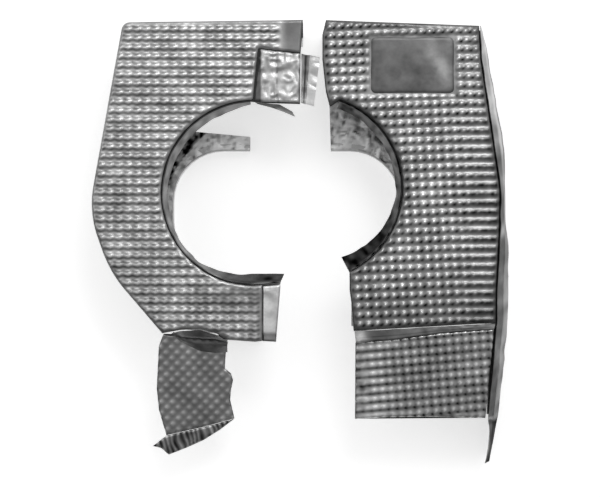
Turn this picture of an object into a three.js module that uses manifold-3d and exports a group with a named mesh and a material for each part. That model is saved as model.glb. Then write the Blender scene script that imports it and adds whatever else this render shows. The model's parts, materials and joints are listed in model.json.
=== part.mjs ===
// Turbo heat blanket: two insulated half shells of embossed stainless foil, lying on their backs.
// Millimetres. +Y is the long way, +Z is up out of the front panels, z = 0 is the floor.
import * as THREE from 'three';
import Module from 'manifold-3d';
import { mergeVertices } from 'three/addons/utils/BufferGeometryUtils.js';

// Sizes that can be set by themselves.
const HEIGHT = 70; // floor to the tips of the dimples
const PITCH = 6.35; // spacing of the embossing, a quarter inch
const DIMPLE = 1.2; // how far a dimple stands out
const FOIL = 0.7; // skins and linings
const MAT = 8; // insulation between two foils
const GAP = 0.3; // clearance where pieces pass each other
const THROAT_LEFT = { x: -32.4, y: 34.1, r: 65 };
const THROAT_RIGHT = { x: 6.5, y: 37.7, r: 65.5 };
// How far the throat lips reach into their openings: angle in degrees, reach.
const LEFT_REACH = [[92, 1], [104, 3.4], [135, 4], [215, 3.8], [230, 4], [246, 6], [268, 9.6]];
const RIGHT_REACH = [[-64.3, 13.2], [-38, 8.8], [-24, 6.5], [0, 4.2], [70.9, 4.2]];
const LIP_SHIFT = 1.4; // the lip's inner edge is centred this much lower
const BACK_FLAT_Y = 67.8; // flat top of both back openings
const BACK_ARM = 13; // width of the left back arm above its opening
const BACK_TAPER = 3.6; // the arm is this much narrower at its end
const BACK_CORNER = 38; // upper corner radius of the back openings
const HEM_WIDTH = 4; // edging folded over a lining
const SKIN_INSET = 1.5; // wall skin behind the front panel's edge, more than a dimple
const WALL_INSET = 3.5; // insulation of the wall behind the front panel's edge
const MARGIN = 5; // plain edge of the wall skins
const BAND_DROP = 12.8; // height of the sloping side band
const BAND_BEND = 0.25; // the inner half of the band takes this share of the drop
const BAND_SLOPE = 0.12; // its outer edge falls towards the tail
const TAIL_LEAN = 5; // the tail's foot stands out this much at its tip
const TAIL_FALL = 1.5; // steepness of the band's inner edge where it leaves the skirt
const TAIL_MAT = 3.5; // thickness of the insulation at the tail
const FLAP_PITCH = 5.6; // embossing of the tail flap
const FLAP_SLOPE = 0.22;
const FLAP_MAT = 5;
const SKIRT_PITCH = 6.1; // embossing of the skirt
const SKIRT_SLOPE = 0.2;
const SKIRT_TURN = THREE.MathUtils.degToRad(5);
const SKIRT_HINGE = -71; // the skirt leans from here
const SKIRT_FOOT = -125; // its lower edge
const SEAM_DROP = 2.5; // fall of the seam band from panel to skirt
const PLATE = { x: 78.8, y: 123.6, width: 59.5, height: 40.6, thickness: 1 };
const TAIL_TOP = 40; // top of the insulation in the right tail

// Levels that follow from them.
const SKIN_TOP = HEIGHT - DIMPLE;
const SKIN_LOW = SKIN_TOP - FOIL;
const LINING_TOP = SKIN_LOW - MAT;
const LINING_LOW = LINING_TOP - FOIL;
const BACK_MAT_TOP = FOIL + MAT;
const BACK_TOP = BACK_MAT_TOP + FOIL;
const PANEL_INSET = SKIN_INSET + FOIL + GAP;
const BAND_LOW = SKIN_TOP - BAND_DROP;

const wasm = await Module();
wasm.setup();

// Plane outlines are lists of [x, y].

// Points of an arc, angles in degrees.
function arc(circle, from, to, radius = circle.r) {
  const steps = Math.max(2, Math.ceil(Math.abs(to - from) / 7));
  const points = [];
  for (let i = 0; i <= steps; i += 1) {
    const angle = THREE.MathUtils.degToRad(from + ((to - from) * i) / steps);
    points.push([circle.x + radius * Math.cos(angle), circle.y + radius * Math.sin(angle)]);
  }
  return points;
}

// Unit direction from a to b.
function heading(a, b) {
  const length = Math.hypot(b[0] - a[0], b[1] - a[1]);
  return [(b[0] - a[0]) / length, (b[1] - a[1]) / length];
}

// Moves an open path of corners to its left by a distance, with mitred corners.
function moved(corners, distance) {
  return corners.map(([x, y, radius], i) => {
    const before = heading(corners[Math.max(i - 1, 0)], corners[Math.max(i, 1)]);
    const last = corners.length - 1;
    const after = heading(corners[Math.min(i, last - 1)], corners[Math.min(i + 1, last)]);
    const across = [-before[1] - after[1], before[0] + after[0]];
    const scale = (2 * distance) / (across[0] ** 2 + across[1] ** 2);
    const smaller = radius === undefined ? undefined : Math.max(radius - distance, 0.5);
    return [x + across[0] * scale, y + across[1] * scale, smaller];
  });
}

// Replaces each corner that has a radius by a round one.
function rounded(corners) {
  const points = [];
  corners.forEach(([x, y, radius], i) => {
    if (radius === undefined) {
      points.push([x, y]);
      return;
    }
    const back = heading([x, y], corners[i - 1]);
    const on = heading([x, y], corners[i + 1]);
    const half = Math.acos(back[0] * on[0] + back[1] * on[1]) / 2;
    const reach = radius / Math.tan(half);
    const steps = Math.max(2, Math.ceil(((Math.PI - 2 * half) * Math.sqrt(radius)) / 1.2));
    const start = [x + back[0] * reach, y + back[1] * reach];
    const end = [x + on[0] * reach, y + on[1] * reach];
    const middle = radius / Math.sin(half);
    const inward = heading([0, 0], [back[0] + on[0], back[1] + on[1]]);
    const centre = [x + inward[0] * middle, y + inward[1] * middle];
    const from = Math.atan2(start[1] - centre[1], start[0] - centre[0]);
    let turn = Math.atan2(end[1] - centre[1], end[0] - centre[0]) - from;
    turn = Math.atan2(Math.sin(turn), Math.cos(turn));
    for (let k = 0; k <= steps; k += 1) {
      const angle = from + (turn * k) / steps;
      points.push([centre[0] + radius * Math.cos(angle), centre[1] + radius * Math.sin(angle)]);
    }
  });
  return points;
}

// The same path with a given number of equal steps.
function evenly(points, steps) {
  const along = [0];
  for (let i = 1; i < points.length; i += 1) {
    const step = Math.hypot(...points[i].map((value, k) => value - points[i - 1][k]));
    along.push(along[i - 1] + step);
  }
  const total = along[along.length - 1];
  const result = [];
  let segment = 1;
  for (let k = 0; k <= steps; k += 1) {
    const at = (total * k) / steps;
    while (segment < along.length - 1 && along[segment] < at) {
      segment += 1;
    }
    const share = (at - along[segment - 1]) / (along[segment] - along[segment - 1]);
    const a = points[segment - 1];
    const b = points[segment];
    result.push(a.map((value, i) => value + (b[i] - value) * share));
  }
  return result;
}

// The same path with its long segments split into steps of about the given length.
function split(points, step) {
  const result = [points[0]];
  for (let i = 1; i < points.length; i += 1) {
    const [x, y] = points[i - 1];
    const [u, v] = points[i];
    const parts = Math.max(1, Math.round(Math.hypot(u - x, v - y) / step));
    for (let k = 1; k <= parts; k += 1) {
      result.push([x + ((u - x) * k) / parts, y + ((v - y) * k) / parts]);
    }
  }
  return result;
}

// The part of a falling path below a height, starting on that height.
function below(points, high) {
  const first = points.findIndex(([, y]) => y < high);
  const [x, y] = points[first - 1];
  const [u, v] = points[first];
  return [[x + ((u - x) * (y - high)) / (y - v), high], ...points.slice(first)];
}

// A closed body from its corners and triangles.
function solidFrom(positions, triangles) {
  const geometry = new THREE.BufferGeometry();
  geometry.setAttribute('position', new THREE.Float32BufferAttribute(positions, 3));
  geometry.setIndex(triangles);
  return geometry;
}

// A flat plate with the given outline.
function slab(outline, low, high) {
  const shape = new THREE.Shape(outline.map(([x, y]) => new THREE.Vector2(x, y)));
  const geometry = new THREE.ExtrudeGeometry(shape, { depth: high - low, bevelEnabled: false });
  geometry.translate(0, 0, low);
  geometry.deleteAttribute('normal');
  geometry.deleteAttribute('uv');
  return mergeVertices(geometry, 1e-4);
}

function toManifold(geometry) {
  const mesh = new wasm.Mesh({
    numProp: 3,
    vertProperties: new Float32Array(geometry.attributes.position.array),
    triVerts: new Uint32Array(geometry.index.array),
  });
  return new wasm.Manifold(mesh);
}

function fromManifold(body) {
  const mesh = body.getMesh();
  return solidFrom(Array.from(mesh.vertProperties), Array.from(mesh.triVerts));
}

// A block of dimples in rows, flat below. Cells where plain(x, y) holds stay flat.
function dimpleBlock(columns, rows, pitch, place, plain) {
  const positions = [];
  const triangles = [];
  const push = (x, y, z) => {
    const [u, v] = place(x, y);
    positions.push(u, v, z);
    return positions.length / 3 - 1;
  };
  const corner = [];
  for (let j = 0; j <= rows; j += 1) {
    for (let i = 0; i <= columns; i += 1) {
      corner.push(push(i * pitch, j * pitch, SKIN_TOP));
    }
  }
  const at = (i, j) => corner[j * (columns + 1) + i];
  for (let j = 0; j < rows; j += 1) {
    for (let i = 0; i < columns; i += 1) {
      const x = (i + 0.5) * pitch;
      const y = (j + 0.5) * pitch;
      const flat = plain(...place(x, y));
      const tip = push(x, y, flat ? SKIN_TOP : HEIGHT);
      const ring = [at(i, j), at(i + 1, j), at(i + 1, j + 1), at(i, j + 1)];
      ring.forEach((a, k) => triangles.push(a, ring[(k + 1) % 4], tip));
    }
  }
  const width = columns * pitch;
  const height = rows * pitch;
  const low = [push(0, 0, SKIN_LOW), push(width, 0, SKIN_LOW)];
  low.push(push(width, height, SKIN_LOW), push(0, height, SKIN_LOW));
  triangles.push(low[0], low[2], low[1], low[0], low[3], low[2]);
  const sides = [[], [], [], []];
  for (let i = 0; i <= columns; i += 1) {
    sides[0].push(at(i, 0));
    sides[2].push(at(columns - i, rows));
  }
  for (let j = 0; j <= rows; j += 1) {
    sides[1].push(at(columns, j));
    sides[3].push(at(0, rows - j));
  }
  sides.forEach((side, k) => {
    const first = low[k];
    const second = low[(k + 1) % 4];
    triangles.push(first, second, side[side.length - 1]);
    for (let i = 1; i < side.length; i += 1) {
      triangles.push(first, side[i], side[i - 1]);
    }
  });
  return solidFrom(positions, triangles);
}

// An embossed skin cut to its outline.
function embossed(outline, { pitch = PITCH, turn = 0, plain = () => false } = {}) {
  const cos = Math.cos(turn);
  const sin = Math.sin(turn);
  const turned = outline.map(([x, y]) => [x * cos + y * sin, y * cos - x * sin]);
  const low = [0, 1].map((k) => Math.min(...turned.map((p) => p[k])) - pitch / 2);
  const high = [0, 1].map((k) => Math.max(...turned.map((p) => p[k])));
  const columns = Math.ceil((high[0] - low[0]) / pitch) + 1;
  const rows = Math.ceil((high[1] - low[1]) / pitch) + 1;
  const place = (x, y) => {
    const u = x + low[0];
    const v = y + low[1];
    return [u * cos - v * sin, v * cos + u * sin];
  };
  const block = toManifold(dimpleBlock(columns, rows, pitch, place, plain));
  const cutter = toManifold(slab(outline, SKIN_LOW - 1, HEIGHT + 1));
  return fromManifold(block.intersect(cutter));
}

// A foil or mat laid along rows of points, from one offset to another above them.
// Cells where dimpled(row) holds get a tip on the upper side. A dimpled sheet is straight across its rows.
function sheet(rows, low, high, dimpled) {
  const lines = rows.map((row) => row.map((point) => new THREE.Vector3(...point)));
  const last = lines.length - 1;
  const end = lines[0].length - 1;
  const normal = (j, i) => {
    const along = lines[j][Math.min(i + 1, end)].clone().sub(lines[j][Math.max(i - 1, 0)]);
    const across = lines[Math.min(j + 1, last)][i].clone().sub(lines[Math.max(j - 1, 0)][i]);
    return along.cross(across).normalize();
  };
  const positions = [];
  const triangles = [];
  const push = (point) => positions.push(...point.toArray()) / 3 - 1;
  const every = lines.map((line, j) => j);
  const layer = (offset, which = every) => which.map((j) => lines[j].map((point, i) => (
    push(point.clone().addScaledVector(normal(j, i), offset)))));
  const upper = layer(high);
  const lower = dimpled ? [0, last].map((j) => layer(low, [j])[0]) : layer(low);
  const cell = (grid, j, i) => [grid[j][i], grid[j][i + 1], grid[j + 1][i + 1], grid[j + 1][i]];
  for (let i = 0; i < end; i += 1) {
    for (let j = 0; j < last; j += 1) {
      const ring = cell(upper, j, i);
      if (dimpled && dimpled(j)) {
        const tip = new THREE.Vector3();
        ring.forEach((k) => tip.add(new THREE.Vector3().fromArray(positions, 3 * k)));
        tip.divideScalar(4).addScaledVector(normal(j, i), DIMPLE);
        const top = push(tip);
        ring.forEach((a, k) => triangles.push(a, ring[(k + 1) % 4], top));
      } else {
        triangles.push(ring[0], ring[1], ring[2], ring[0], ring[2], ring[3]);
      }
    }
    for (let j = 1; j < lower.length; j += 1) {
      const [a, b, c, d] = cell(lower, j - 1, i);
      triangles.push(a, c, b, a, d, c);
    }
  }
  const rim = (top, bottom) => {
    let under = 0;
    for (let i = 1; i < top.length; i += 1) {
      const next = bottom.length === top.length ? i : bottom.length - 1;
      if (next > under) {
        triangles.push(top[i - 1], bottom[under], bottom[next]);
        under = next;
      }
      triangles.push(top[i - 1], bottom[under], top[i]);
    }
  };
  rim(upper[0], lower[0]);
  rim(upper[last].slice().reverse(), lower[lower.length - 1].slice().reverse());
  rim(upper.map((line) => line[end]), lower.map((line) => line[end]));
  rim(upper.map((line) => line[0]).reverse(), lower.map((line) => line[0]).reverse());
  return solidFrom(positions, triangles);
}

// A path at one height.
function level(points, z) {
  return points.map(([x, y]) => [x, y, z]);
}

// The dimpled outer wall along a path, from the floor to top(y), outer face to the path's right.
// Its foot stands out by lean(y).
function wallSkin(path, top, lean = () => 0) {
  const line = split(path, PITCH);
  const rows = Math.round((top(0) - 2 * MARGIN) / PITCH);
  const lines = [];
  for (let j = -1; j <= rows + 1; j += 1) {
    lines.push(line.map(([x, y]) => {
      const high = top(y);
      const middle = MARGIN + ((high - 2 * MARGIN) * j) / rows;
      const z = j < 0 ? 0 : Math.min(j > rows ? high : middle, high);
      return [x + lean(y) * (1 - z / high), y, z];
    }));
  }
  return sheet(lines, -FOIL, 0, (j) => j > 0 && j <= rows);
}

// A band between two inward offsets of a path.
function wallBand(corners, outer, inner, low, high) {
  const outside = rounded(moved(corners, outer));
  const inside = rounded(moved(corners, inner)).reverse();
  return slab([...outside, ...inside], low, high);
}

// Tilts a flat piece along Y about a hinge line, keeping its plan.
function tilted(geometry, hinge, slope, drop) {
  const position = geometry.attributes.position;
  for (let i = 0; i < position.count; i += 1) {
    const fall = (position.getY(i) - hinge) * slope - drop;
    position.setZ(i, position.getZ(i) + fall);
  }
  return geometry;
}

// Colours as in the photograph.
const finish = (name, colour, roughness, metalness) => {
  const material = new THREE.MeshStandardMaterial({ color: colour, roughness, metalness });
  material.name = name;
  return material;
};
const EMBOSSED = finish('embossed_foil', 0xa2a2a2, 0.35, 0.9);
const PLAIN = finish('plain_foil', 0x8c8c8c, 0.4, 0.9);
const DARK = finish('dark_foil', 0x545454, 0.5, 0.8);
const WOOL = finish('insulation', 0x2e2e2e, 0.95, 0);
const BARE = finish('bare_plate', 0x6e6e6e, 0.45, 0.6);

const blanket = new THREE.Group();
blanket.name = 'turbo_heat_blanket';
function add(name, geometry, material) {
  const mesh = new THREE.Mesh(geometry, material);
  mesh.name = name;
  blanket.add(mesh);
}

// Left half.
// Outer side from the join round to the lower corner, out to the right of the path.
const LEFT_SIDE = [[2.1, 155.4], [-124.3, 153.7, 6], [-148.2, 21, 70], [-133.3, -21.7, 90], [-96.6, -64.4]];
const LEFT_BOW = [[-84, -62], [-70, -61.3], [-59.5, -64], [-50.4, -69], [-31.5, -70.4]];
const LEFT_ARM_END = [[-26.6, -69.7], [-26.6, -30.6]];
const LEFT_TIP = THROAT_LEFT.y + THROAT_LEFT.r; // upper end of the throat
const LEFT_NOTCH = [[-32.9, LEFT_TIP + 0.7], [-29.4, 135.5], [0.35, 132]];
const END_MARGIN = -14.7; // the embossing stops here

const [leftHigh, leftLow] = [LEFT_REACH[0][0], LEFT_REACH[LEFT_REACH.length - 1][0]];
const leftThroat = arc(THROAT_LEFT, leftLow, leftHigh);
const leftSkin = [...rounded(LEFT_SIDE), ...LEFT_BOW, ...LEFT_ARM_END, ...leftThroat, ...LEFT_NOTCH];
add('left_front_skin', embossed(leftSkin, { plain: (x) => x > END_MARGIN }), EMBOSSED);

const leftCore = (throat) => [
  ...rounded(moved(LEFT_SIDE, PANEL_INSET)),
  ...LEFT_BOW.slice(0, 4),
  [-17.4, -69.7],
  ...throat,
  [-24.5, LEFT_TIP - 1.4],
  [0, LEFT_TIP - 2.1],
  [0.35, 132],
];
const LEFT_LIP_END = [[-14, -28.9], [-11.2, -23]]; // its upper and lower corner
add('left_front_mat', slab(leftCore([[-14, -30.4], ...leftThroat]), LINING_TOP, SKIN_LOW), WOOL);

// Inner edge of a throat lip, a given clearance outside it.
function lipEdge(circle, reach, clearance = 0) {
  const from = reach[0][0];
  const to = reach[reach.length - 1][0];
  const centre = { ...circle, y: circle.y - LIP_SHIFT };
  return arc(centre, from, to).map(([x, y]) => {
    const sweep = (Math.atan2(y - centre.y, x - centre.x) * 180) / Math.PI;
    const angle = sweep < from - 1 ? sweep + 360 : sweep;
    const next = Math.max(1, reach.findIndex(([at]) => at > angle - 0.01));
    const [a, b] = [reach[next - 1], reach[next]];
    const depth = a[1] + ((b[1] - a[1]) * (angle - a[0])) / (b[0] - a[0]);
    const scale = (circle.r - depth + clearance) / circle.r;
    return [centre.x + (x - centre.x) * scale, centre.y + (y - centre.y) * scale];
  });
}
const LIP_CLEAR = FOIL + 4 * GAP; // from a lip's inner edge to the lining
const leftRim = [[-12.5, -24.7], ...lipEdge(THROAT_LEFT, LEFT_REACH, LIP_CLEAR).reverse()];
add('left_front_lining', slab(leftCore([[-14, -30.4], ...leftRim]), LINING_LOW, LINING_TOP), PLAIN);

// Conical closure of a throat edge between skin and lining.
function throatLip(circle, reach, tail = []) {
  const upper = arc(circle, reach[0][0], reach[reach.length - 1][0], circle.r - GAP - FOIL);
  const lower = lipEdge(circle, reach);
  if (tail.length > 0) {
    upper.push(tail[0]);
    lower.push(tail[1]);
  }
  return sheet([level(upper, SKIN_TOP), level(lower, LINING_LOW)], -FOIL, 0);
}
add('left_throat_lip', throatLip(THROAT_LEFT, LEFT_REACH, LEFT_LIP_END), DARK);

const leftWallPath = rounded(moved(LEFT_SIDE, SKIN_INSET));
add('left_wall_skin', wallSkin(leftWallPath, () => SKIN_LOW), EMBOSSED);
const wallInner = WALL_INSET + MAT;
add('left_wall_mat', wallBand(LEFT_SIDE, WALL_INSET, wallInner, BACK_TOP, LINING_LOW), WOOL);
const wallLiner = wallInner + FOIL;
add('left_wall_lining', wallBand(LEFT_SIDE, wallInner, wallLiner, BACK_TOP, LINING_LOW), PLAIN);

// Back panel: its own opening has a flat top with a round corner.
const leftBackTop = BACK_FLAT_Y + BACK_ARM;
const leftBackOpening = rounded([
  [-26, -29.5],
  [-94, -29.5, 45],
  [-94, BACK_FLAT_Y, BACK_CORNER],
  [-36.8, BACK_FLAT_Y],
]);
const leftBack = [
  ...below(rounded(moved(LEFT_SIDE, PANEL_INSET)), leftBackTop),
  [-50.4, -69],
  [-26, -69],
  ...leftBackOpening,
  [-36.8, leftBackTop - BACK_TAPER],
  [-75.7, leftBackTop],
];
add('left_back_skin', slab(leftBack, 0, FOIL), EMBOSSED);
add('left_back_mat', slab(leftBack, FOIL, BACK_MAT_TOP), WOOL);
add('left_back_lining', slab(leftBack, BACK_MAT_TOP, BACK_TOP), PLAIN);

// Edging of an opening: an upright strip with a flange on the lining.
function openingHem(path) {
  const edge = moved(path, -GAP);
  return [level(edge, 0), level(edge, BACK_TOP), level(moved(path, HEM_WIDTH), BACK_TOP)];
}
add('left_back_hem', sheet(openingHem(leftBackOpening), 0, FOIL), PLAIN);

// Closure at the upper arm: wrinkled patch, folded tab and the sliver below it.
const patchLow = LEFT_TIP - 1.8;
const patch = [[-32, patchLow + 1.1], [-24.5, patchLow + 0.7], [-GAP, patchLow], [0, 131.6], [-28.4, 134.8]];
add('left_closure_patch', slab(patch, SKIN_LOW, SKIN_TOP), PLAIN);
const TAB_FOLD = 5.5; // depth of the fold beside the patch
const TAB_DROP = 3; // the tab lies this far below the patch
const tabRows = [
  [[0.9, 131.6, SKIN_TOP], [0.5, patchLow, SKIN_TOP]],
  [[4.2, 131.3, SKIN_TOP - TAB_FOLD], [2.5, patchLow - 0.2, SKIN_TOP - TAB_FOLD]],
  [[7.2, 131, SKIN_TOP - TAB_DROP], [4.6, patchLow - 0.8, SKIN_TOP - TAB_DROP]],
  [[14, 129.6, SKIN_TOP - TAB_DROP], [9.8, patchLow - 2.4, SKIN_TOP - TAB_DROP]],
];
add('left_closure_tab', sheet(tabRows.reverse(), -FOIL, 0), PLAIN);
const sliver = [[-32, 0.9], [-29.6, -0.4], [-20, -2.8], [-11.3, -6], [-3.4, -9.3], [-5.4, -5.6], [-14.5, -0.5]];
const sliverOutline = sliver.map(([x, y]) => [x, patchLow + y]);
add('left_lip_sliver', slab(sliverOutline, LINING_TOP, LINING_TOP + FOIL), DARK);

const tuck = [[-26.2, -69.9], [-16.8, -70.4], [-13.6, -30.2], [-26.2, -30.9]];
add('left_lower_tab', slab(tuck, SKIN_LOW, SKIN_TOP), PLAIN);

// Closure under the lower arm, from the skin's edge out to the lining.
const archTop = [[-90, -64.3], [-84, -63.1], [-70, -62.4], [-59.5, -65.3], [-51.2, -70.2]];
const archLow = [[-90, -65.4], [-84, -71], [-70, -77.4], [-59.5, -78.8], [-51.2, -78]];
add('left_lower_lip', sheet([level(archLow, LINING_TOP), level(archTop, SKIN_TOP)], -FOIL, 0), DARK);

// Right half.
// Outer side from the tail's tip up to the join, out to the right of the path.
const TAIL_END = [135.3, -157];
const RIGHT_SIDE = [
  TAIL_END,
  [141, -124.5],
  [147.4, -58, 150],
  [147.4, -4, 60],
  [145.3, 20, 60],
  [145.3, 62, 60],
  [129, 151.5, 3],
  [18.2, 155.4],
];
// Right edge of the embossing, from the skirt's foot to the top.
const PANEL_FOOT = -57;
const RIGHT_EDGE = [
  [132.4, -125],
  [137.4, PANEL_FOOT],
  [137.4, -36],
  [139.8, 10, 60],
  [140.2, 36, 60],
  [135.2, 71],
  [126.8, 127],
  [125.6, 151.3],
];
const RIGHT_JOIN = [[18.2, 155.2], [15.8, 145.3], [15.8, 128.5], [18.2, 106], [21, 94.9]];
const RIGHT_END = [[35, -34], [36.4, -44.5], [37.8, -62.7]];
const [rightLow, rightHigh] = [RIGHT_REACH[0][0], RIGHT_REACH[RIGHT_REACH.length - 1][0]];

const panelEdge = RIGHT_EDGE.slice(1);
const onPlate = (x, y) => (
  Math.abs(x - PLATE.x) < (PLATE.width + PITCH) / 2 && Math.abs(y - PLATE.y) < (PLATE.height + PITCH) / 2
);
const rightPanel = (edge, throat) => [
  ...RIGHT_END,
  ...rounded(edge),
  ...RIGHT_JOIN,
  ...throat,
];
const rightThroat = arc(THROAT_RIGHT, rightHigh, rightLow);
add('right_front_skin', embossed(rightPanel(panelEdge, rightThroat), { plain: onPlate }), EMBOSSED);
const coreEdge = moved(panelEdge, GAP + FOIL);
add('right_front_mat', slab(rightPanel(coreEdge, rightThroat), LINING_TOP, SKIN_LOW), WOOL);
const rightRim = [...lipEdge(THROAT_RIGHT, RIGHT_REACH, LIP_CLEAR).reverse(), [35.2, -22.5]];
add('right_front_lining', slab(rightPanel(coreEdge, rightRim), LINING_LOW, LINING_TOP), PLAIN);
add('right_throat_lip', throatLip(THROAT_RIGHT, RIGHT_REACH), DARK);

// Plain band between the embossing and the outer side, bent along its middle and running out into the tail.
const BAND_STEPS = 34;
const TAIL_INNER = [[132.2, -158.6], [134.6, -149], [135.4, -141], [135, -132]];
const skirtLevel = (y) => Math.min(SKIN_TOP, SKIN_TOP - SEAM_DROP + (y - SKIRT_HINGE) * SKIRT_SLOPE);
const bandLevel = (y) => BAND_LOW + Math.min(0, (y - PANEL_FOOT) * BAND_SLOPE);
const bandTop = (y) => Math.max(bandLevel(y) + GAP, skirtLevel(y) - TAIL_FALL * Math.max(0, SKIRT_FOOT - y));
const outerEdge = rounded(RIGHT_SIDE).filter(([x, y]) => x > RIGHT_EDGE[7][0] && y < RIGHT_EDGE[7][1]);
const innerEdge = [...TAIL_INNER, ...rounded(RIGHT_EDGE).map(([x, y]) => [x + GAP + FOIL, y])];
const bandOut = evenly(outerEdge, BAND_STEPS).map(([x, y]) => [x, y, bandLevel(y)]);
const bandIn = evenly(innerEdge, BAND_STEPS).map(([x, y]) => [x, y, bandTop(y)]);
const bandMiddle = bandIn.map(([x, y, z], i) => {
  const [u, v, w] = bandOut[i];
  return [(x + u) / 2, (y + v) / 2, z - (z - w) * BAND_BEND];
});
add('right_side_band', sheet([bandOut, bandMiddle, bandIn], -FOIL, 0), PLAIN);

const rightWallPath = rounded(moved(RIGHT_SIDE, SKIN_INSET));
const rightWallTop = (y) => (y > 150 ? BAND_LOW : bandLevel(y)) - GAP - FOIL;
const LEAN_FROM = -60;
const tailLean = (y) => (TAIL_LEAN * Math.max(0, LEAN_FROM - y)) / (LEAN_FROM - TAIL_END[1]);
add('right_wall_skin', wallSkin(rightWallPath, rightWallTop, tailLean), EMBOSSED);
const RIGHT_WALL = [[147.1, LEAN_FROM], ...RIGHT_SIDE.slice(3)];
add('right_wall_mat', wallBand(RIGHT_WALL, WALL_INSET, wallInner, BACK_TOP, LINING_LOW), WOOL);
add('right_wall_lining', wallBand(RIGHT_WALL, wallInner, wallLiner, BACK_TOP, LINING_LOW), PLAIN);

// Insulation of the wall beside the skirt, thinner towards the tail.
const tailCorners = [[141, SKIRT_FOOT + 1], [147.1, LEAN_FROM - 1.5]];
const TAIL_STEPS = 3;
const tailSide = evenly(rounded(moved(tailCorners, PANEL_INSET + GAP)), TAIL_STEPS);
const tailFace = tailSide.map(([x, y], i) => [x - TAIL_MAT - ((MAT - TAIL_MAT) * i) / TAIL_STEPS, y]).reverse();
add('right_tail_mat', slab([...tailSide, ...tailFace], BACK_TOP, TAIL_TOP), WOOL);
const tailBack = tailFace.map(([x, y]) => [x - FOIL, y]).reverse();
add('right_tail_lining', slab([...tailFace, ...tailBack], BACK_TOP, TAIL_TOP), PLAIN);

const rightBackOpening = rounded([
  [22.8, BACK_FLAT_Y],
  [74.5, BACK_FLAT_Y, BACK_CORNER],
  [74.5, -29.5, 32],
  [38, -29.5],
]);
const backEdge = rounded(moved(RIGHT_WALL, PANEL_INSET));
const rightBack = [...backEdge, [20.2, 152.6], ...rightBackOpening, [38, -62]];
add('right_back_skin', slab(rightBack, 0, FOIL), EMBOSSED);
add('right_back_mat', slab(rightBack, FOIL, BACK_MAT_TOP), WOOL);
add('right_back_lining', slab(rightBack, BACK_MAT_TOP, BACK_TOP), PLAIN);
add('right_back_hem', sheet(openingHem(rightBackOpening), 0, FOIL), PLAIN);

// Seam band and skirt below the right front panel.
const seamTop = [[38.2, -63.1, SKIN_TOP], [136.9, -57.5, SKIN_TOP]];
const skirtTop = [[39.2, -71.5], [70, -68.8], [98, -64.6], [136, -61.8]];
const seam = evenly(skirtTop, 8).map(([x, y]) => [x, y + GAP, skirtLevel(y)]);
add('right_seam_band', sheet([seam, evenly(seamTop, 8)], -FOIL, 0), PLAIN);
const skirt = [[39.2, SKIRT_FOOT - 0.6], [131.4, SKIRT_FOOT], ...skirtTop.slice().reverse()];
const toSkirt = (geometry) => tilted(geometry, SKIRT_HINGE, SKIRT_SLOPE, SEAM_DROP);
add('right_skirt_skin', toSkirt(embossed(skirt, { pitch: SKIRT_PITCH, turn: SKIRT_TURN })), EMBOSSED);
add('right_skirt_mat', toSkirt(slab(skirt, LINING_TOP, SKIN_LOW)), WOOL);
add('right_skirt_lining', toSkirt(slab(skirt, LINING_LOW, LINING_TOP)), PLAIN);

const half = { x: PLATE.width / 2, y: PLATE.height / 2 };
const plate = [[-1, -1], [1, -1], [1, 1], [-1, 1]].map(([a, b]) => [PLATE.x + a * half.x, PLATE.y + b * half.y]);
add('name_plate', slab(plate, SKIN_TOP, SKIN_TOP + PLATE.thickness), BARE);

// Left tail flap, twisted so that its outer face looks up.
const FLAP_HINGE = -70;
const FLAP_DROP = SKIN_TOP - LINING_LOW + DIMPLE + GAP;
const flap = [
  [-96.6, -65.4],
  [-100, -74],
  [-102, -104.6],
  [-100.7, -120.3],
  [-95.7, -138.6],
  [-67.8, -132.2],
  [-47.1, -126.4],
  [-50, -113.2],
  [-49.3, -106],
  [-47.8, -98.9],
  [-49.3, -94],
  [-53.6, -90.3],
  [-52.9, -80.3],
  [-51, -66.5],
];
const toFlap = (geometry) => tilted(geometry, FLAP_HINGE, FLAP_SLOPE, FLAP_DROP);
const diagonal = { pitch: FLAP_PITCH, turn: Math.PI / 4 };
add('left_flap_skin', toFlap(embossed(flap, diagonal)), EMBOSSED);
const flapMatLow = SKIN_LOW - FLAP_MAT;
add('left_flap_mat', toFlap(slab(flap, flapMatLow, SKIN_LOW)), WOOL);
add('left_flap_lining', toFlap(slab(flap, flapMatLow - FOIL, flapMatLow)), PLAIN);
const hemTop = [[-95.7, -138.6 - GAP], [-67.8, -132.2 - GAP], [-47.1, -126.4 - GAP]];
const hemLow = [[-57.1, -134.6], [-69.3, -142.4], [-82.1, -148.2], [-94.2, -153], [-100, -148], [-105.7, -146.7]];
const flapHem = [...hemTop.reverse(), ...hemLow.slice().reverse()];
add('left_flap_hem', toFlap(slab(flapHem, flapMatLow - FOIL, SKIN_TOP)), PLAIN);

blanket.updateMatrixWorld(true);
const box = new THREE.Box3().setFromObject(blanket);
const centre = box.getCenter(new THREE.Vector3());
blanket.children.forEach((mesh) => {
  mesh.geometry.translate(-centre.x, -centre.y, -box.min.z);
  mesh.geometry.computeVertexNormals();
});

export default blanket;
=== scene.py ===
"""Turbo heat blanket: the embossed foil, its lips, bands and linings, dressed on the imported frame."""
import json
import math

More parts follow.
